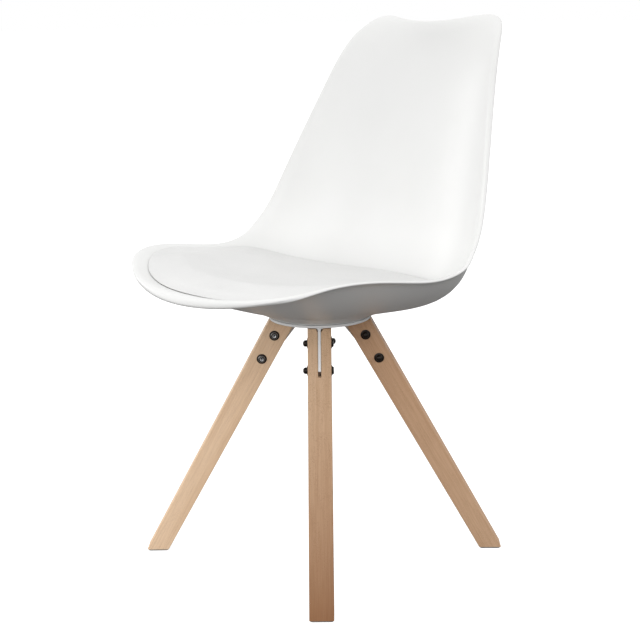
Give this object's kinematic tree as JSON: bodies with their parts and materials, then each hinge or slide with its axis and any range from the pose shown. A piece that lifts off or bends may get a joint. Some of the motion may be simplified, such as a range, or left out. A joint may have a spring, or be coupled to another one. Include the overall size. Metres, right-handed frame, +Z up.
{
  "type": "dining chair",
  "caption": "Dining chair with a one-piece moulded tub seat, an upholstered seat pad and splayed square wooden legs bolted to a steel plate.",
  "frame": {"origin": "on the floor, under the middle of the chair's outer box", "axes": "+Z up, the sitter faces -Y, +X is the sitter's left"},
  "size_m": [0.4798, 0.5474, 0.8266],
  "materials": {
    "shell_plastic": "satin moulded polypropylene",
    "pad_leatherette": "fine-grained satin leatherette",
    "pad_foam": "open-cell foam",
    "pad_board": "thin hardboard",
    "white_steel": "white powder coat",
    "black_rubber": "matt",
    "brass_insert": "machined",
    "zinc_screw": "bright zinc plated",
    "beech": "clear matt lacquer on beech, grain along the leg",
    "black_steel": "blackened steel, satin",
    "glide_plastic": "matt grey"
  },
  "bodies": {
    "root": {"shell": "shell_plastic", "cushion_cover": "pad_leatherette", "cushion_foam": "pad_foam", "cushion_base_board": "pad_board", "mounting_plate": "white_steel", "plate_spacers": "black_rubber", "seat_inserts": "brass_insert", "seat_screws": "zinc_screw", "leg_front_left": "beech", "leg_fin_front_left": "white_steel", "leg_bolts_front_left": "black_steel", "cap_nuts_front_left": "black_steel", "foot_glide_front_left": "glide_plastic", "leg_back_left": "beech", "leg_fin_back_left": "white_steel", "leg_bolts_back_left": "black_steel", "cap_nuts_back_left": "black_steel", "foot_glide_back_left": "glide_plastic", "leg_back_right": "beech", "leg_fin_back_right": "white_steel", "leg_bolts_back_right": "black_steel", "cap_nuts_back_right": "black_steel", "foot_glide_back_right": "glide_plastic", "leg_front_right": "beech", "leg_fin_front_right": "white_steel", "leg_bolts_front_right": "black_steel", "cap_nuts_front_right": "black_steel", "foot_glide_front_right": "glide_plastic"}
  },
  "joints": []
}
